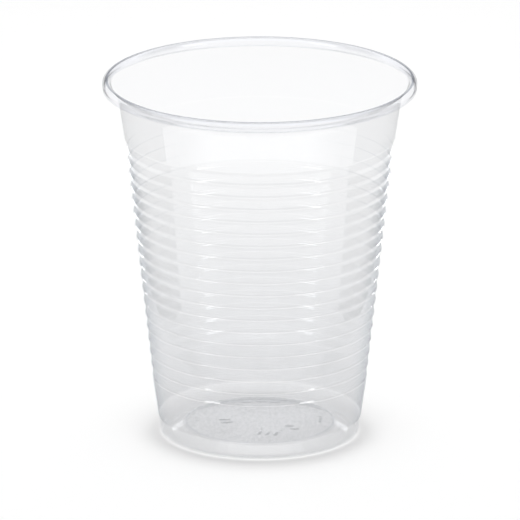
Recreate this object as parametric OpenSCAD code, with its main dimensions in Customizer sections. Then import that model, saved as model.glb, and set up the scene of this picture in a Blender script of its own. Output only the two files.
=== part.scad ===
// Clear disposable drinking cup, formed in one piece from one thin sheet.
// The wall is a single turned profile: a raised base panel, a standing ring, a stepped foot,
// a plain lower band, a taper of sharp-edged ribs, a plain upper band and a rolled rim.
// The profile is drawn on the outer face, as corners with a radius each, and thickened inwards.
// The base hangs on the foot, the top rib hangs on the rim, and the ribs share the height between.

/* [Cup] */
// Height from the table to the crown of the rolled rim
cup_h = 82.2; // [66:0.1:100]
// Outside diameter across the rolled rim
rim_d = 70.3; // [58:0.1:85]
// Outside diameter of the foot
foot_d = 44.7; // [36:0.1:54]

/* [Sheet] */
// Thickness of the side wall
wall_t = 0.2; // [0.14:0.01:0.34]
// Thickness of the base
base_t = 0.35; // [0.2:0.01:0.5]
// Thickness of the rolled rim
rim_t = 0.28; // [0.2:0.01:0.4]

/* [Base] */
// Width of the standing ring under the base
stand_w = 2.65; // [1.8:0.05:3.5]
// Width of the slope from the standing ring to the raised panel
slope_w = 3.1; // [2:0.1:5]
// Height of the underside of the panel above the table
panel_rise = 1.8; // [0.8:0.1:3]
// Radius round the underside of the panel's edge
panel_edge_r = 0.3; // [0.1:0.05:0.6]
// Radius on the upper face where the base turns down to the standing ring
stand_inner_r = 0.2; // [0.1:0.05:0.5]
// Radius on the upper face where the foot turns up from the base
foot_inner_r = 0.35; // [0.1:0.05:0.6]
// Height of the foot up to the step below the wall
foot_h = 3.9; // [3:0.1:5]
// Height of the step between the foot and the wall
step_h = 0.3; // [0.15:0.05:0.6]
// Width of the step
step_w = 0.47; // [0.3:0.01:0.8]

/* [Wall] */
// Height of the plain lower band from the step to the edge of the lowest rib
lower_band_h = 9.25; // [6:0.01:14]
// How far the lower band flares out over its height
lower_flare = 1.35; // [0.8:0.01:2.2]
// Height of the plain upper band from the edge of the top rib to the crown of the rim
upper_band_h = 12.95; // [9:0.05:16]
// How far the rim reaches out beyond the edge of the top rib
rim_overhang = 4.73; // [3.7:0.01:6]

/* [Ribs] */
// Number of ribs
rib_count = 19; // [8:1:24]
// Width of the ledge under the top rib
top_ledge_w = 0.52; // [0.4:0.01:0.8]
// Width of the ledge under the lowest rib
low_ledge_w = 0.15; // [0.1:0.01:0.4]
// Height of the sloping ledge above each edge
ledge_h = 0.38; // [0.3:0.01:0.5]
// Share of a rib's height over which it runs in below its edge
run_in_share = 0.25; // [0.2:0.01:0.4]
// Share of a rib's depth that is taken where the run-in ends
run_in_depth = 0.53; // [0.4:0.01:0.65]
// Radius of the hollow where the run-in ends, as a share of the rib's height
hollow_round = 0.4; // [0.25:0.01:0.5]
// Radius inside each rib edge
edge_inner_r = 0.08; // [0.04:0.01:0.12]
// Radius of each groove between two ribs
groove_r = 0.15; // [0.05:0.01:0.2]

/* [Rolled rim] */
// Outside radius of the crown of the roll
crown_r = 0.93; // [0.7:0.01:1.2]
// Height of the roll from its crown to its lip
roll_h = 2.3; // [1.8:0.05:2.8]
// Height from the bend below the throat to the crown
throat_h = 3.15; // [2.5:0.05:4.5]
// Lean of the throat in degrees, where the wall runs into the roll
throat_lean = 35; // [28:1:42]
// Radius of the bend below the throat
throat_r = 6; // [2:0.5:7]
// Depth of the waist around the outside of the roll
waist_in = 0.15; // [0:0.01:0.25]
// Radius of the waist as a share of the height between the roll's two bends
waist_share = 0.5; // [0.2:0.05:0.7]
// How far the lip stays inside the crown
lip_in = 0.08; // [0:0.01:0.2]
// Inside radius of the curled lip
lip_r = 0.12; // [0.08:0.01:0.2]
// Angle in degrees that the lip curls under
lip_curl = 140; // [100:5:160]

/* [Hidden] */

// Smoothness: the widest gap between an arc and its chords, and the faces of a full turn
chord_gap = 0.015;
turn_faces = 180;

// Driven radii
rim_r = rim_d / 2;
foot_r = foot_d / 2;
stand_r = foot_r - stand_w;
panel_r = stand_r - slope_w;
knee_r = foot_r + step_w;
low_edge_r = knee_r + lower_flare;
top_edge_r = rim_r - rim_overhang;

// Driven heights: the ribs share what the foot and the two plain bands leave
top_edge_z = cup_h - upper_band_h;
rib_pitch = (top_edge_z - lower_band_h - foot_h) / rib_count;

// Driven bends
edge_r = wall_t + edge_inner_r;
hollow_r = hollow_round * rib_pitch;
heel_r = base_t + foot_inner_r;
stand_edge_r = base_t + stand_inner_r;

// Roll: the centres of its crown and its lip, and the waist between them
crown_c = [rim_r - crown_r, cup_h - crown_r];
lip_c = [rim_r - lip_in - rim_t - lip_r, cup_h - roll_h + rim_t + lip_r];
crown_end = 8;
waist_z = (crown_c[1] + lip_c[1]) / 2;
waist_r = waist_share * (crown_c[1] - lip_c[1]);

// Plane geometry
function unit(v) = v / norm(v);
function left(v) = [-v[1], v[0]];
function flat(p) = [p[0], p[1]];
function polar(a) = [cos(a), sin(a)];
function mix(a, b, share) = a + (b - a) * share;

// Number of chords that keep an arc within chord_gap of its curve
function chords(radius, angle) =
    max(1, ceil(abs(angle) / (2 * acos(1 - min(0.5, chord_gap / max(radius, chord_gap))))));

// Points of an arc about c, each with the sheet's thickness there. The sheet lies outside the
// arc where it turns right, so the wider of its two faces sets the number of chords.
function arc(c, radius, from, to, t) =
    let (n = chords(to < from ? radius + t : radius, to - from))
    [for (i = [0:n]) concat(c + radius * polar(mix(from, to, i / n)), t)];

// A corner is [r, z, radius, thickness]; this rounds corner b between a and c
function rounded(a, b, c) =
    let (u = unit(flat(b) - flat(a)), v = unit(flat(c) - flat(b)))
    let (turn = atan2(cross(u, v), u * v), side = sign(turn))
    let (start = flat(b) - u * b[2] * tan(abs(turn) / 2))
    let (centre = start + side * b[2] * left(u))
    let (from = atan2(start[1] - centre[1], start[0] - centre[0]))
    b[2] == 0 || turn == 0 ? [[b[0], b[1], b[3]]] : arc(centre, b[2], from, from + turn, b[3]);

function rounded_path(corners) =
    let (last = len(corners) - 1)
    [for (i = [0:last])
        each i == 0 || i == last
            ? [[corners[i][0], corners[i][1], corners[i][3]]]
            : rounded(corners[i - 1], corners[i], corners[i + 1])];

// Ribs, counted from the top: rib k runs from edge k down to edge k + 1
function edge_radius(k) = mix(top_edge_r, low_edge_r, k / rib_count);
function edge_z(k) = top_edge_z - rib_pitch * k;
function ledge_w(k) = mix(top_ledge_w, low_ledge_w, k / rib_count);
function groove_radius(k) = edge_radius(k + 1) - ledge_w(k);
function hollow_radius(k) = mix(edge_radius(k), groove_radius(k), run_in_depth);
function hollow_z(k) = edge_z(k) - run_in_share * (rib_pitch - ledge_h);
function rib_edge(k) = [edge_radius(k), edge_z(k), edge_r, wall_t];
function rib_hollow(k) = [hollow_radius(k), hollow_z(k), hollow_r, wall_t];
function rib_groove(k) = [groove_radius(k), edge_z(k + 1) + ledge_h, groove_r, wall_t];

// Underside of the base, from the axis out to the heel, and the foot up to its step
base_corners = [
    [0, panel_rise, 0, base_t],
    [panel_r, panel_rise, panel_edge_r, base_t],
    [stand_r, 0, stand_edge_r, base_t],
    [foot_r, 0, heel_r, base_t],
    [foot_r, foot_h - step_h, groove_r, wall_t],
    [knee_r, foot_h, edge_r, wall_t]
];

// Wall from the edge of the lowest rib up to the edge of the top rib
rib_corners = [
    rib_edge(rib_count),
    for (k = [rib_count - 1:-1:0]) each [rib_groove(k), rib_hollow(k), rib_edge(k)]
];

// Throat: it leans out from the upper band and is tangent to the roll
throat_end = crown_c + (crown_r - rim_t) * polar(180 - throat_lean);
throat_bend_z = cup_h - throat_h;
throat_bend_r = throat_end[0] - (throat_end[1] - throat_bend_z) * tan(throat_lean);
throat_corners = [
    [throat_bend_r, throat_bend_z, throat_r, wall_t],
    concat(throat_end, 0, rim_t)
];

// Roll: over the crown, in at the waist and under at the lip
crown_path = arc(crown_c, crown_r - rim_t, 180 - throat_lean, -crown_end, rim_t);
lip_path = arc(lip_c, lip_r, crown_end, -lip_curl, rim_t);
waist_corner = [rim_r - rim_t - waist_in, waist_z, waist_r, rim_t];
waist_path = rounded(crown_path[len(crown_path) - 1], waist_corner, lip_path[0]);

outer_face = concat(
    rounded_path(concat(base_corners, rib_corners, throat_corners)),
    [for (i = [1:len(crown_path) - 1]) crown_path[i]],
    waist_path,
    lip_path
);

// Point i of a face moved to its left by the sheet's thickness there
function thickened(face, i) =
    let (last = len(face) - 1)
    let (u = unit(flat(face[max(i, 1)]) - flat(face[max(i, 1) - 1])))
    let (v = unit(flat(face[min(i + 1, last)]) - flat(face[min(i + 1, last) - 1])))
    flat(face[i]) + face[i][2] * (left(u) + left(v)) / (1 + u * v);

module sheet_section() {
    last = len(outer_face) - 1;
    polygon(concat(
        [for (p = outer_face) flat(p)],
        [for (i = [last:-1:0]) thickened(outer_face, i)]
    ));
}

module cup() {
    color([0.9, 0.93, 0.96, 0.35])
        rotate_extrude($fn = turn_faces)
            sheet_section();
}

cup();
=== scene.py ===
"""Clear disposable drinking cup: a fine turned skin over the CAD solid, on a white studio table."""

import math

import bpy
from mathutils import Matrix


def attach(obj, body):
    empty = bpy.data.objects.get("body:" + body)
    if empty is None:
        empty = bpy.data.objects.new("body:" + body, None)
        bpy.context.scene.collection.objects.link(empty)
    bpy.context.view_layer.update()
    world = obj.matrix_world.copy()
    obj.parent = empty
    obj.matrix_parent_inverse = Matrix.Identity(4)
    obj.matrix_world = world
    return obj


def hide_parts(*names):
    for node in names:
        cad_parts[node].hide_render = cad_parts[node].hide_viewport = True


MM = 0.001
# The skin's radii are a little smaller than the solid's, so that it lies inside the solid's box
FIT = 0.9998 * MM

# Sizes of the section in mm, as in the CAD source
CUP_H, RIM_D, FOOT_D = 82.2, 70.3, 44.7
WALL_T, BASE_T, RIM_T = 0.2, 0.35, 0.28
STAND_W, SLOPE_W, PANEL_RISE = 2.65, 3.1, 1.8
PANEL_EDGE_R, STAND_INNER_R, FOOT_INNER_R = 0.3, 0.2, 0.35
FOOT_H, STEP_H, STEP_W = 3.9, 0.3, 0.47
LOWER_BAND_H, LOWER_FLARE = 9.25, 1.35
UPPER_BAND_H, RIM_OVERHANG = 12.95, 4.73
RIB_COUNT, TOP_LEDGE_W, LOW_LEDGE_W, LEDGE_H = 19, 0.52, 0.15, 0.38
RUN_IN_SHARE, RUN_IN_DEPTH, HOLLOW_ROUND = 0.25, 0.53, 0.4
EDGE_INNER_R, GROOVE_R = 0.08, 0.15
CROWN_R, ROLL_H, THROAT_H, THROAT_LEAN, THROAT_R = 0.93, 2.3, 3.15, 35, 6
WAIST_IN, WAIST_SHARE, LIP_IN, LIP_R, LIP_CURL = 0.15, 0.5, 0.08, 0.12, 140
CROWN_END = 8

# Smoothness of the skin: gap to the true arcs in mm, faces of a turn, least angle that stays sharp
CHORD_GAP = 0.005
TURN_FACES = 144
SHARP_ANGLE = 50

# Driven sizes
RIM_RADIUS, FOOT_RADIUS = RIM_D / 2, FOOT_D / 2
CROWN_RADIUS = RIM_RADIUS - CROWN_R
STAND_RADIUS = FOOT_RADIUS - STAND_W
PANEL_RADIUS = STAND_RADIUS - SLOPE_W
KNEE_RADIUS = FOOT_RADIUS + STEP_W
LOW_EDGE_RADIUS = KNEE_RADIUS + LOWER_FLARE
TOP_EDGE_RADIUS = RIM_RADIUS - RIM_OVERHANG
TOP_EDGE_Z = CUP_H - UPPER_BAND_H
RIB_PITCH = (TOP_EDGE_Z - LOWER_BAND_H - FOOT_H) / RIB_COUNT
EDGE_R = WALL_T + EDGE_INNER_R

# Raised marks on the base panel in mm: place, length and angle of each bar or, with no length, dot
MARK_BARS = (
    (-7.9, 0.2, 1.7, 12), (-7.4, -1.9, 1.7, 12),
    (0.0, -9.2, 2.2, 75), (1.9, -9.5, 2.2, 75), (3.8, -9.8, 2.2, 75),
    (6.6, -4.4, 1.2, 0), (7.9, -6.6, 1.2, 0),
    (13.4, 2.3, 0, 0), (13.7, 0.5, 0, 0), (13.6, -1.3, 0, 0),
    (-2.9, 12.9, 1.4, 8), (0.3, 13.2, 1.4, 0), (3.5, 12.8, 1.4, -8),
)
MARK_HALF, MARK_FACES = 0.48, 8
# Section of a mark: inset from its outline and rise above the panel
MARK_STEPS = ((0.0, -0.03), (0.06, 0.09), (0.16, 0.15), (0.3, 0.17))

# Camera, from a fit to the photograph's rim, ribs and foot
CAMERA_DISTANCE = 2.315
CAMERA_ELEVATION = 17.26
LOOK_HEIGHT = 0.040
FOCAL_LENGTH, SENSOR_WIDTH = 714.3, 36
SHIFT = (0.0004, -0.00096)
CLIP = (0.1, 20)

# Linear colours that light takes on where it passes the sheet once. A facing goes from 0 face on
# to 1 edge on. Heights and radii are the two places in mm between which a part fades in or out.
OUTSIDE_TINT, INSIDE_TINT = (0.976, 0.978, 0.982, 1), (0.952, 0.955, 0.961, 1)
# Partly painted shade: the edge-on tints darken the wall and foot where the sheet turns away, for
# the dark that reflection and bending give at the outline, besides the longer path through the
# sheet
WALL_EDGE_TINT, WALL_EDGE_FACING = (0.75, 0.77, 0.80, 1), 0.5
FOOT_EDGE_TINT, FOOT_EDGE_FACING = (0.965, 0.97, 0.98, 1), 0.45
FOOT_HEIGHTS = 4.2, 3.6
# Share of the wall's edge-on darkness that the plain upper band has
BAND_EDGE, BAND_HEIGHTS = 0.05, (60, 68)
# Painted shade: a darker tint on the roll below these heights, round the lip at the roll's inner
# end
LIP_SHADE_TINT, LIP_HEIGHTS = (0.80, 0.81, 0.83, 1), (80.0, 80.1)
# Painted shade lines round the base panel's edge and along the top of the roll, for the dark that
# bending gives at these bends, with their half widths
CREASE_SHADE_TINT, CREASE_SHADE_HALF = (0.84, 0.85, 0.88, 1), 0.1
CREST_SHADE_TINT, CREST_SHADE_HALF, CREST_HEIGHTS = (0.52, 0.54, 0.58, 1), 0.18, (81.4, 81.5)
# Half width of the painted highlight line along each rib edge, where the sheet is drawn clear of
# tint and haze, and how strong it is on each side. The lines stop where the pattern would go on
# beyond the lowest and the top edge.
EDGE_HIGHLIGHT_HALF, OUTSIDE_HIGHLIGHT, INSIDE_HIGHLIGHT = 0.06, 0.9, 0.3
EDGE_HIGHLIGHT_TINT, EDGE_REACH, EDGE_STOP = (1.0, 1.0, 1.0, 1), 1.0, 0.1
# Levels of the rolled rim by facing, on the sheet's outside and inside, and of the marks: painted
# shade for the dark bands that bending through the roll and the marks gives
RIM_RADII = 33.0, 33.4
OUTSIDE_RIM_TONES = (
    (0.0, 1.0), (0.58, 0.99), (0.65, 0.87), (0.7, 0.74), (0.75, 0.62), (0.9, 0.35), (1.0, 0.2),
)
INSIDE_RIM_TONES = (
    (0.0, 1.0), (0.12, 0.99), (0.2, 0.84), (0.3, 0.84),
    (0.4, 0.99), (0.7, 0.9), (0.85, 0.72), (1.0, 0.3),
)
MARK_TONES = ((0.0, 0.8), (0.35, 0.82), (0.6, 0.97), (0.74, 1.0), (0.84, 0.66), (1.0, 0.6))
COOL = (0.985, 0.99, 1.01)

# Haze: its share at the top and the foot, and what of it the foot and the panel keep
HAZE_COLOUR = (0.60, 0.62, 0.66, 1)
HAZE_TOP, HAZE_FOOT, HAZE_HEIGHTS = 0.0, 0.225, (69, 6)
FOOT_HAZE_KEPT, FOOT_HAZE_HEIGHTS, FOOT_HAZE_RADII = 0.3, (3.6, 5.0), (17.0, 17.6)
PANEL_HAZE_KEPT, PANEL_RADII = 0.8, (16.2, 16.4)
# Grain: spots in a metre, depth, and the noise's scale along each axis
HAZE_GRAIN = 2500, 0.04, (1, 1, 1)
PANEL_GRAIN = 1500, 0.4, (1, 0.35, 1)
GRAIN_DETAIL, GRAIN_SPREAD = 2.0, (0.3, 0.7)

# Share mirrored face on and edge on, and how much of it the base and the plain upper band keep
OUTSIDE_GLOSS, INSIDE_GLOSS, GLOSS_POWER = (0.10, 0.35, 1.0, 1.0), (0.10, 0.3, 0.5, 0.0), 4
BASE_GLOSS_HEIGHTS, BAND_GLOSS_HEIGHTS, RIM_GLOSS = (5.0, 5.5), (54.8, 55.3), 0.35
SHEET_ROUGHNESS = 0.02
MARK_GLOSS, MARK_ROUGHNESS = 0.25, 0.05

# Light that falls through to the table, held back only by the lower wall just above the table
PASSED_BY_WALL, PASSED_BY_FOOT = (0.995, 0.995, 0.996, 1), (0.33, 0.33, 0.34, 1)
DENSE_FROM, DENSE_TO, DENSE_RADII = (1.0, 1.8), (4.0, 14.5), (21.2, 21.8)

# Table and room; a level is a radiance, where 1 is white
TABLE_COLOUR, TABLE_HALF, TABLE_GLOW = (0.97, 0.97, 0.97, 1), 4, 0.35
ROOM_LEVEL, ROOM_LEVEL_SEEN = 0.5, 1.0
# Lamps: name, azimuth from the camera's side, elevation, distance, width, height, level
SOFTBOXES = (
    ("softbox_back", 180, 70, 0.8, 0.6, 0.6, 3.5),
    ("softbox_top", 0, 62, 1.0, 1.6, 0.35, 1.8),
)
# Cards on the table that only reflections show, both glowing: a dim one at each side that reflects
# as dark, and a board in front that glows up to brighter than white, a light in effect
CARD_INNER, CARD_OUTER, CARD_FRONT, CARD_BACK = 0.075, 0.19, -0.02, 0.3
CARD_HEIGHT, CARD_LEVEL = 0.0006, 0.12
BOARD_CENTRE, BOARD_HALF = (0, -0.14, 0.0005), (0.15, 0.085)
BOARD_LEVEL, BOARD_RISE, BOARD_FADE = 1.8, (0.06, 0.15), (0.085, 0.15)
# Lights that only reflections show: a low strip behind, one above and a wedge at each side
STRIP_SPAN, STRIP_LOW, STRIP_TOP, STRIP_LEVEL = 40, 4, 14, 6.0
STRIP_DISTANCE, STRIP_FACES = 1.0, 12
WEDGE_NEAR, WEDGE_FAR, WEDGE_MID, WEDGE_HALF, WEDGE_LEVEL = 34, 60, 14, 8, 5.6
WEDGE_DISTANCE = 0.9
TOP_LIGHT, TOP_LIGHT_LEVEL = (0.42, 0.14, 0.52, 1.0), 2.5


# Plane geometry in mm
def mix(a, b, share):
    return a + (b - a) * share


def polar(centre, radius, degrees):
    a = math.radians(degrees)
    return centre[0] + radius * math.cos(a), centre[1] + radius * math.sin(a)


def unit(a, b):
    d = math.dist(a[:2], b[:2])
    return (b[0] - a[0]) / d, (b[1] - a[1]) / d


def arc(centre, radius, start, end, t):
    """Points of an arc, each with the sheet's thickness there."""
    wide = radius + t if end < start else radius
    step = 2 * math.degrees(math.acos(1 - CHORD_GAP / wide))
    n = max(1, math.ceil(abs(end - start) / step))
    return [(*polar(centre, radius, mix(start, end, i / n)), t) for i in range(n + 1)]


def rounded(a, b, c):
    """Corner b, given as r, z, radius and thickness, rounded between its neighbours."""
    u, v = unit(a, b), unit(b, c)
    turn = math.atan2(u[0] * v[1] - u[1] * v[0], u[0] * v[0] + u[1] * v[1])
    if b[2] == 0 or turn == 0:
        return [(b[0], b[1], b[3])]
    cut, side = b[2] * math.tan(abs(turn) / 2), math.copysign(b[2], turn)
    start = b[0] - u[0] * cut, b[1] - u[1] * cut
    centre = start[0] - u[1] * side, start[1] + u[0] * side
    first = math.degrees(math.atan2(start[1] - centre[1], start[0] - centre[0]))
    return arc(centre, b[2], first, first + math.degrees(turn), b[3])


def rounded_path(corners):
    path = [(corners[0][0], corners[0][1], corners[0][3])]
    for a, b, c in zip(corners, corners[1:], corners[2:]):
        path += rounded(a, b, c)
    return path + [(corners[-1][0], corners[-1][1], corners[-1][3])]


# The section's outer face
def edge_radius(k):
    return mix(TOP_EDGE_RADIUS, LOW_EDGE_RADIUS, k / RIB_COUNT)


def edge_z(k):
    return TOP_EDGE_Z - RIB_PITCH * k


def rib_corners():
    corners = [(edge_radius(RIB_COUNT), edge_z(RIB_COUNT), EDGE_R, WALL_T)]
    for k in reversed(range(RIB_COUNT)):
        groove = edge_radius(k + 1) - mix(TOP_LEDGE_W, LOW_LEDGE_W, k / RIB_COUNT)
        hollow = mix(edge_radius(k), groove, RUN_IN_DEPTH)
        hollow_z = edge_z(k) - RUN_IN_SHARE * (RIB_PITCH - LEDGE_H)
        corners += [
            (groove, edge_z(k + 1) + LEDGE_H, GROOVE_R, WALL_T),
            (hollow, hollow_z, HOLLOW_ROUND * RIB_PITCH, WALL_T),
            (edge_radius(k), edge_z(k), EDGE_R, WALL_T),
        ]
    return corners


def base_corners():
    return [
        (0, PANEL_RISE, 0, BASE_T),
        (PANEL_RADIUS, PANEL_RISE, PANEL_EDGE_R, BASE_T),
        (STAND_RADIUS, 0, BASE_T + STAND_INNER_R, BASE_T),
        (FOOT_RADIUS, 0, BASE_T + FOOT_INNER_R, BASE_T),
        (FOOT_RADIUS, FOOT_H - STEP_H, GROOVE_R, WALL_T),
        (KNEE_RADIUS, FOOT_H, EDGE_R, WALL_T),
    ]


def outer_face():
    crown = CROWN_RADIUS, CUP_H - CROWN_R
    lip = RIM_RADIUS - LIP_IN - RIM_T - LIP_R, CUP_H - ROLL_H + RIM_T + LIP_R
    throat_end = polar(crown, CROWN_R - RIM_T, 180 - THROAT_LEAN)
    bend_z = CUP_H - THROAT_H
    bend_r = throat_end[0] - (throat_end[1] - bend_z) * math.tan(math.radians(THROAT_LEAN))
    throat = [(bend_r, bend_z, THROAT_R, WALL_T), (*throat_end, 0, RIM_T)]
    crown_path = arc(crown, CROWN_R - RIM_T, 180 - THROAT_LEAN, -CROWN_END, RIM_T)
    lip_path = arc(lip, LIP_R, CROWN_END, -LIP_CURL, RIM_T)
    waist_r = WAIST_SHARE * (crown[1] - lip[1])
    waist = (RIM_RADIUS - RIM_T - WAIST_IN, (crown[1] + lip[1]) / 2, waist_r, RIM_T)
    return (
        rounded_path(base_corners() + rib_corners() + throat)
        + crown_path[1:]
        + rounded(crown_path[-1], waist, lip_path[0])
        + lip_path
    )


def inner_face(face):
    """Each point moved to its left by the sheet's thickness there."""
    moved, last = [], len(face) - 1
    for i, (r, z, t) in enumerate(face):
        u = unit(face[max(i, 1) - 1], face[max(i, 1)])
        v = unit(face[min(i + 1, last) - 1], face[min(i + 1, last)])
        k = t / (1 + u[0] * v[0] + u[1] * v[1])
        moved.append((r - k * (u[1] + v[1]), z + k * (u[0] + v[0]), t))
    return moved


# Pieces
def new_object(name, verts, polygons, *materials):
    mesh = bpy.data.meshes.new(name)
    mesh.from_pydata(verts, [], polygons)
    for material in materials:
        mesh.materials.append(material)
    obj = bpy.data.objects.new(name, mesh)
    bpy.context.scene.collection.objects.link(obj)
    return obj


def turned(name, path, faces, outer_rings, *materials):
    """Solid of revolution of a path that starts and ends on the axis.

    Material 0 goes on the first rings, which are its outer face, and material 1 on the rest.
    """
    rings = path[1:-1]
    verts = [
        (r * FIT * math.sin(a), -r * FIT * math.cos(a), z * MM)
        for r, z, _ in rings
        for a in (2 * math.pi * j / faces for j in range(faces))
    ]
    low, high = len(verts), len(verts) + 1
    verts += [(0, 0, path[0][1] * MM), (0, 0, path[-1][1] * MM)]
    polygons, sides = [], []
    for j in range(faces):
        k = (j + 1) % faces
        polygons.append((low, k, j))
        for i in range(len(rings) - 1):
            a, b = i * faces, (i + 1) * faces
            polygons.append((a + j, a + k, b + k, b + j))
        top = (len(rings) - 1) * faces
        polygons.append((high, top + j, top + k))
        sides += [0] * outer_rings + [1] * (len(rings) + 1 - outer_rings)
    obj = new_object(name, verts, polygons, *materials)
    obj.data.polygons.foreach_set("material_index", sides)
    obj.data.shade_smooth()
    obj.data.set_sharp_from_angle(angle=math.radians(SHARP_ANGLE))
    obj.modifiers.new("even_normals", "WEIGHTED_NORMAL").keep_sharp = True
    return obj


def make_cup():
    face = outer_face()
    outside = OUTSIDE_TINT, OUTSIDE_RIM_TONES, OUTSIDE_HIGHLIGHT, OUTSIDE_GLOSS
    inside = INSIDE_TINT, INSIDE_RIM_TONES, INSIDE_HIGHLIGHT, INSIDE_GLOSS
    materials = clear_plastic("clear_outside", *outside), clear_plastic("clear_inside", *inside)
    path = face + inner_face(face)[::-1]
    cup = turned("cup_skin", path, TURN_FACES, len(face) - 1, *materials)
    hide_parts("cup")
    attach(cup, "root")


def mark_ring(x, y, length, angle, half):
    """Outline of a bar with round ends, or of a dot."""
    points = []
    for end, first in ((length / 2, angle - 90), (-length / 2, angle + 90)):
        centre = polar((x, y), end, angle)
        points += [polar(centre, half, first + 180 * i / MARK_FACES) for i in range(MARK_FACES + 1)]
    return points


def make_base_marks():
    """Generic raised dots and bars where moulded marks stand on such a base."""
    verts, polygons = [], []
    n = 2 * (MARK_FACES + 1)
    for bar in MARK_BARS:
        start = len(verts)
        for inset, rise in MARK_STEPS:
            z = (PANEL_RISE + BASE_T + rise) * MM
            verts += [(x * MM, y * MM, z) for x, y in mark_ring(*bar, MARK_HALF - inset)]
        for k in range(len(MARK_STEPS) - 1):
            a, b = start + k * n, start + (k + 1) * n
            polygons += [(a + i, a + (i + 1) % n, b + (i + 1) % n, b + i) for i in range(n)]
        top = start + (len(MARK_STEPS) - 1) * n
        polygons.append(tuple(range(start + n - 1, start - 1, -1)))
        polygons.append(tuple(range(top, top + n)))
    marks = new_object("base_marks", verts, polygons, mark_plastic())
    marks.data.shade_smooth()
    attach(marks, "root")


# Materials
class Graph:
    """Nodes of a material or a world. A value may be a plain one or another node's output."""

    def __init__(self, owner, output="OutputMaterial"):
        owner.use_nodes = True
        self.nodes, self.links = owner.node_tree.nodes, owner.node_tree.links
        self.nodes.clear()
        self.output = self.add(output)

    def feed(self, socket, value):
        if isinstance(value, bpy.types.NodeSocket):
            self.links.new(value, socket)
        else:
            socket.default_value = value

    def add(self, kind, **values):
        """A node with its settings and its named sockets' values."""
        node = self.nodes.new("ShaderNode" + kind)
        for name, value in values.items():
            if hasattr(node, name):
                setattr(node, name, value)
            else:
                self.feed(node.inputs[name.replace("_", " ")], value)
        return node

    def fed(self, kind, sockets, **settings):
        """A node with these settings and the values of its sockets by number."""
        node = self.add(kind, **settings)
        for number, value in sockets.items():
            self.feed(node.inputs[number], value)
        return node

    def shader(self, kind, **values):
        return self.add(kind, **values).outputs[0]

    def finish(self, shader):
        self.feed(self.output.inputs["Surface"], shader)

    def calc(self, operation, *values):
        return self.fed("Math", dict(enumerate(values)), operation=operation).outputs[0]

    def times(self, first, *others):
        for other in others:
            first = self.calc("MULTIPLY", first, other)
        return first

    def blend(self, share, first, second):
        return self.fed("MixShader", {0: share, 1: first, 2: second}).outputs[0]

    def blend_value(self, share, first, second):
        return self.fed("Mix", {0: share, 2: first, 3: second}).outputs[0]

    def blend_colour(self, share, first, second):
        return self.fed("Mix", {0: share, 6: first, 7: second}, data_type="RGBA").outputs[2]

    def ranged(self, source, low, high, at_low=0.0, at_high=1.0, course="SMOOTHSTEP"):
        """A value that goes from at_low to at_high while the source goes from low to high."""
        ends = {"From_Min": low, "From_Max": high, "To_Min": at_low, "To_Max": at_high}
        node = self.add("MapRange", interpolation_type=course, Value=source, **ends)
        return node.outputs[0]

    def zoned(self, source, zone, at_low=0.0, at_high=1.0):
        """The same for a source in metres and a zone in mm."""
        return self.ranged(source, zone[0] * MM, zone[1] * MM, at_low, at_high)

    def near(self, source, place, half):
        """1 where the source is within half of this place in mm, and 0 from twice that."""
        away = self.calc("ABSOLUTE", self.calc("SUBTRACT", source, place * MM))
        return self.zoned(away, (half, 2 * half), 1.0, 0.0)

    def kept(self, where, part):
        """A factor that is 1, and goes to this part where the share is 1."""
        return self.ranged(where, 0.0, 1.0, 1.0, part)

    def scaled(self, vector, factors):
        return self.fed("VectorMath", {0: vector, 1: factors}, operation="MULTIPLY").outputs[0]

    def length(self, vector):
        return self.fed("VectorMath", {0: vector}, operation="LENGTH").outputs["Value"]

    def place(self):
        return self.add("TexCoord").outputs["Object"]

    def facing(self):
        return self.add("LayerWeight", Blend=0.5).outputs["Facing"]

    def any_ray(self, *kinds):
        """1 where the ray is of one of these kinds."""
        path = self.add("LightPath")
        value = path.outputs[kinds[0]]
        for kind in kinds[1:]:
            value = self.calc("MAXIMUM", value, path.outputs[kind])
        return value

    def tones(self, source, stops):
        """A grey, a little cool, that follows these stops of place and level."""
        node = self.fed("ValToRGB", {0: source})
        elements = node.color_ramp.elements
        while len(elements) < len(stops):
            elements.new(0.5)
        for element, (place, level) in zip(elements, stops):
            element.position = place
            element.color = (*(min(1, level * part) for part in COOL), 1)
        return node.outputs[0]

    def grain(self, place, spots, depth, scales):
        """A factor round 1 that varies with a fine noise."""
        drawn = self.scaled(place, scales)
        noise = self.add("TexNoise", Scale=spots, Detail=GRAIN_DETAIL, Vector=drawn)
        return self.ranged(noise.outputs[0], *GRAIN_SPREAD, 1 - depth, 1 + depth, "LINEAR")

    def one_way(self, entering, lighting):
        """Front faces show one shader and back faces are clear; rays of light see another."""
        back = self.add("NewGeometry").outputs["Backfacing"]
        seen = self.blend(back, entering, self.shader("BsdfTransparent"))
        self.finish(self.blend(self.any_ray("Is Shadow Ray", "Is Diffuse Ray"), seen, lighting))


def new_material(name):
    material = bpy.data.materials.new(name)
    return material, Graph(material)


def glowing(name, level):
    material, g = new_material(name)
    g.finish(g.shader("Emission", Strength=level))
    return material


def mark_plastic():
    """Clear like the base, and darker where a mark's flank turns to the viewer: painted shade for
    the bending of light through the mark.
    """
    material, g = new_material("clear_marks")
    clear = g.shader("BsdfTransparent", Color=g.tones(g.facing(), MARK_TONES))
    gloss = g.shader("BsdfGlossy", Roughness=MARK_ROUGHNESS)
    g.one_way(g.blend(MARK_GLOSS, clear, gloss), g.shader("BsdfTransparent"))
    return material


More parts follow.
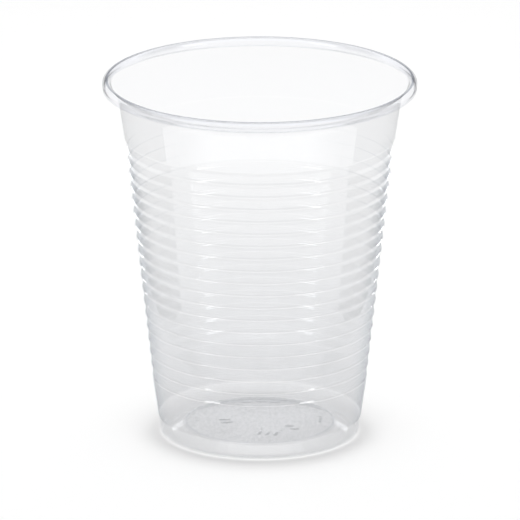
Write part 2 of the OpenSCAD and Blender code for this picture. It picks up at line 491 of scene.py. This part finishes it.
def edge_highlights(g, height):
    """1 along every rib edge and along the knee above the foot, where painted highlight lines go.
    """
    lowest, highest = edge_z(RIB_COUNT), edge_z(0)
    above_lowest = g.calc("SUBTRACT", height, lowest * MM)
    away = g.calc("PINGPONG", above_lowest, RIB_PITCH * MM / 2)
    highlight_line = g.zoned(away, (EDGE_HIGHLIGHT_HALF, 2 * EDGE_HIGHLIGHT_HALF), 1.0, 0.0)
    above = g.zoned(height, (lowest - EDGE_REACH, lowest - EDGE_REACH + EDGE_STOP))
    below = g.zoned(height, (highest + EDGE_REACH, highest + EDGE_REACH + EDGE_STOP), 1.0, 0.0)
    return g.calc("MAXIMUM", g.times(highlight_line, above, below), g.near(height, FOOT_H, EDGE_HIGHLIGHT_HALF))


def sheet_tint(g, height, radius, rim, facing, face_tint, rim_tones):
    """Clear, with painted shade where the sheet is seen edge on, besides the longer path through
    it, most of all at the rolled rim; painted shade lines go on the lip, round the panel's edge and
    along the roll's crest.
    """
    wall_edge = g.ranged(facing, WALL_EDGE_FACING, 1.0)
    wall_edge = g.times(wall_edge, g.zoned(height, BAND_HEIGHTS, 1.0, BAND_EDGE))
    foot_edge = g.ranged(facing, FOOT_EDGE_FACING, 1.0)
    foot_tint = g.blend_colour(foot_edge, face_tint, FOOT_EDGE_TINT)
    lip = g.times(rim, g.zoned(height, LIP_HEIGHTS, 1.0, 0.0))
    crest_shade = g.near(radius, CROWN_RADIUS, CREST_SHADE_HALF)
    crest_shade = g.times(crest_shade, g.zoned(height, CREST_HEIGHTS))
    tint = g.blend_colour(wall_edge, face_tint, WALL_EDGE_TINT)
    for where, colour in (
        # Painted shade bands on the rolled rim, by facing
        (rim, g.tones(facing, rim_tones)),
        (lip, LIP_SHADE_TINT),
        (g.zoned(height, FOOT_HEIGHTS), foot_tint),
        # Painted shade lines round the panel's edge and along the roll's crest
        (g.near(radius, PANEL_RADIUS, CREASE_SHADE_HALF), CREASE_SHADE_TINT),
        (crest_shade, CREST_SHADE_TINT),
    ):
        tint = g.blend_colour(where, tint, colour)
    return tint


def haze_share(g, place, height, radius):
    """A haze share that grows toward the foot, so the cup greys toward the bottom; less on the foot
    itself, and grained on the base panel.
    """
    amount = g.zoned(height, HAZE_HEIGHTS, HAZE_TOP, HAZE_FOOT)
    panel = g.zoned(radius, PANEL_RADII, 1.0, 0.0)
    grains = g.grain(place, *HAZE_GRAIN), g.grain(place, *PANEL_GRAIN)
    foot = g.times(g.zoned(radius, FOOT_HAZE_RADII), g.zoned(height, FOOT_HAZE_HEIGHTS, 1.0, 0.0))
    kept = g.times(g.kept(foot, FOOT_HAZE_KEPT), g.kept(panel, PANEL_HAZE_KEPT))
    return g.times(amount, g.blend_value(panel, *grains), kept)


def gloss_share(g, height, rim, facing, face_on, edge_on, base_part, band_part):
    """Stronger edge on; the rim, and inside the cup its upper band and base, are duller."""
    power = g.calc("POWER", facing, GLOSS_POWER)
    share = g.calc("MULTIPLY_ADD", power, edge_on - face_on, face_on)
    base = g.zoned(height, BASE_GLOSS_HEIGHTS, base_part, 1.0)
    band = g.zoned(height, BAND_GLOSS_HEIGHTS, 1.0, band_part)
    return g.times(share, base, band, g.kept(rim, RIM_GLOSS))


def clear_plastic(name, face_tint, rim_tones, highlight_line, gloss):
    """A thin clear sheet: what a face does is done once, where a ray enters the sheet."""
    material, g = new_material(name)
    place, facing = g.place(), g.facing()
    height = g.add("SeparateXYZ", Vector=place).outputs["Z"]
    radius = g.length(g.scaled(place, (1, 1, 0)))
    rim = g.zoned(radius, RIM_RADII)
    # Painted highlight lines along the rib edges and the knee: no tint and no haze there
    highlight_share = g.ranged(edge_highlights(g, height), 0.0, 1.0, 0.0, highlight_line, "LINEAR")
    off_highlight = g.ranged(highlight_share, 0.0, 1.0, 1.0, 0.0, "LINEAR")
    tint = sheet_tint(g, height, radius, rim, facing, face_tint, rim_tones)
    tint = g.blend_colour(highlight_share, tint, EDGE_HIGHLIGHT_TINT)
    clear = g.shader("BsdfTransparent", Color=tint)
    scatter = g.shader("BsdfDiffuse", Color=HAZE_COLOUR)
    through = g.shader("BsdfTranslucent", Color=HAZE_COLOUR)
    haze = g.times(haze_share(g, place, height, radius), off_highlight)
    hazed = g.blend(haze, clear, g.blend(0.5, scatter, through))
    mirror = g.shader("BsdfGlossy", Roughness=SHEET_ROUGHNESS)
    entering = g.blend(gloss_share(g, height, rim, facing, *gloss), hazed, mirror)
    dense = g.times(g.zoned(height, DENSE_FROM), g.zoned(height, DENSE_TO, 1.0, 0.0))
    dense = g.times(dense, g.zoned(radius, DENSE_RADII))
    passed = g.blend_colour(dense, PASSED_BY_WALL, PASSED_BY_FOOT)
    g.one_way(entering, g.shader("BsdfTransparent", Color=passed))
    return material


def table_white():
    material, g = new_material("table_white")
    seen = g.any_ray("Is Camera Ray", "Is Glossy Ray", "Is Transmission Ray")
    paint = g.shader("BsdfDiffuse", Color=TABLE_COLOUR)
    g.finish(g.blend(g.times(seen, TABLE_GLOW), paint, g.shader("Emission")))
    return material


def board_glow():
    """A glow, brighter away from the cup, up to its own level, and fading toward both sides."""
    material, g = new_material("board_glow")
    place = g.place()
    across = g.calc("ABSOLUTE", g.add("SeparateXYZ", Vector=place).outputs["X"])
    rise = g.ranged(g.length(place), *BOARD_RISE)
    fade = g.ranged(across, *BOARD_FADE, 1.0, 0.0)
    level = g.ranged(g.times(rise, fade), 0.0, 1.0, 1.0, BOARD_LEVEL, "LINEAR")
    g.finish(g.shader("Emission", Strength=level))
    return material


# Stage
def plane(name, centre, half_x, half_y, material):
    x, y, z = centre
    corners = [(-1, -1), (1, -1), (1, 1), (-1, 1)]
    verts = [(x + s * half_x, y + t * half_y, z) for s, t in corners]
    obj = new_object(name, verts, [(0, 1, 2, 3)], material)
    return obj


def only_reflected(obj):
    obj.visible_camera = False
    obj.visible_diffuse = False
    obj.visible_shadow = False
    obj.visible_transmission = False


def side_card(name, side, material):
    """A dark card on the table beside the cup that only reflections show."""
    centre = side * (CARD_INNER + CARD_OUTER) / 2, (CARD_FRONT + CARD_BACK) / 2, CARD_HEIGHT
    half = (CARD_OUTER - CARD_INNER) / 2, (CARD_BACK - CARD_FRONT) / 2
    only_reflected(plane(name, centre, *half, material))


def aimed(azimuth, elevation, distance):
    """A point seen from the cup at this azimuth from the camera's side and this elevation."""
    a, e = math.radians(azimuth), math.radians(elevation)
    return (
        distance * math.sin(a) * math.cos(e),
        -distance * math.cos(a) * math.cos(e),
        distance * math.sin(e) + LOOK_HEIGHT,
    )


def glow_shape(name, verts, polygons, level):
    """A glowing shape that only reflections show."""
    obj = new_object(name, verts, polygons, glowing(name, level))
    only_reflected(obj)


def make_strip_light():
    n = STRIP_FACES
    around = [180 + STRIP_SPAN * (2 * i / n - 1) for i in range(n + 1)]
    verts = [aimed(a, e, STRIP_DISTANCE) for e in (STRIP_LOW, STRIP_TOP) for a in around]
    polygons = [(i, i + 1, n + 2 + i, n + 1 + i) for i in range(n)]
    glow_shape("strip_light", verts, polygons, STRIP_LEVEL)


def make_top_light():
    half, near, far, high = TOP_LIGHT
    verts = [(-half, near, high), (half, near, high), (half, far, high), (-half, far, high)]
    glow_shape("top_light", verts, [(0, 1, 2, 3)], TOP_LIGHT_LEVEL)


def make_wedge_light(name, side):
    verts = [
        aimed(side * WEDGE_NEAR, WEDGE_MID, WEDGE_DISTANCE),
        aimed(side * WEDGE_FAR, WEDGE_MID - WEDGE_HALF, WEDGE_DISTANCE),
        aimed(side * WEDGE_FAR, WEDGE_MID + WEDGE_HALF, WEDGE_DISTANCE),
    ]
    glow_shape(name, verts, [(0, 1, 2)], WEDGE_LEVEL)


def make_stage():
    only_reflected(plane("board", BOARD_CENTRE, *BOARD_HALF, board_glow()))
    make_strip_light()
    make_top_light()
    make_wedge_light("wedge_left", -1)
    make_wedge_light("wedge_right", 1)
    plane("table", (0, 0, 0), TABLE_HALF, TABLE_HALF, table_white())
    dark = glowing("card_dark", CARD_LEVEL)
    side_card("card_left", -1, dark)
    side_card("card_right", 1, dark)


def make_softbox(name, azimuth, elevation, distance, wide, high, level):
    """A soft lamp that faces the cup."""
    lamp = bpy.data.lights.new(name, "AREA")
    lamp.shape = "RECTANGLE"
    lamp.size, lamp.size_y = wide, high
    lamp.energy = level * math.pi * wide * high
    obj = bpy.data.objects.new(name, lamp)
    obj.location = aimed(azimuth, elevation, distance)
    obj.rotation_euler = (math.radians(90 - elevation), 0, math.radians(azimuth))
    obj.visible_glossy = False
    bpy.context.scene.collection.objects.link(obj)


def make_light():
    world = bpy.data.worlds.new("studio")
    bpy.context.scene.world = world
    g = Graph(world, "OutputWorld")
    seen = g.any_ray("Is Camera Ray", "Is Glossy Ray", "Is Transmission Ray")
    level = g.ranged(seen, 0.0, 1.0, ROOM_LEVEL, ROOM_LEVEL_SEEN)
    g.finish(g.shader("Background", Strength=level))
    for softbox in SOFTBOXES:
        make_softbox(*softbox)


def make_camera():
    data = bpy.data.cameras.new("camera")
    data.lens, data.sensor_width = FOCAL_LENGTH, SENSOR_WIDTH
    data.shift_x, data.shift_y = SHIFT
    data.clip_start, data.clip_end = CLIP
    camera = bpy.data.objects.new("camera", data)
    camera.location = aimed(0, CAMERA_ELEVATION, CAMERA_DISTANCE)
    camera.rotation_euler = (math.radians(90 - CAMERA_ELEVATION), 0, 0)
    bpy.context.scene.collection.objects.link(camera)
    bpy.context.scene.camera = camera


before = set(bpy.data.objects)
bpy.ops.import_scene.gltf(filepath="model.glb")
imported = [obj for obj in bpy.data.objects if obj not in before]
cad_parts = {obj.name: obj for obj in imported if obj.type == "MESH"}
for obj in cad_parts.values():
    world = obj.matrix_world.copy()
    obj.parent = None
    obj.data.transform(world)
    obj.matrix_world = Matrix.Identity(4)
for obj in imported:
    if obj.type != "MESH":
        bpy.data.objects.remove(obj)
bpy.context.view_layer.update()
make_cup()
make_base_marks()
make_stage()
make_light()
make_camera()
bpy.context.scene.view_settings.view_transform = "Standard"
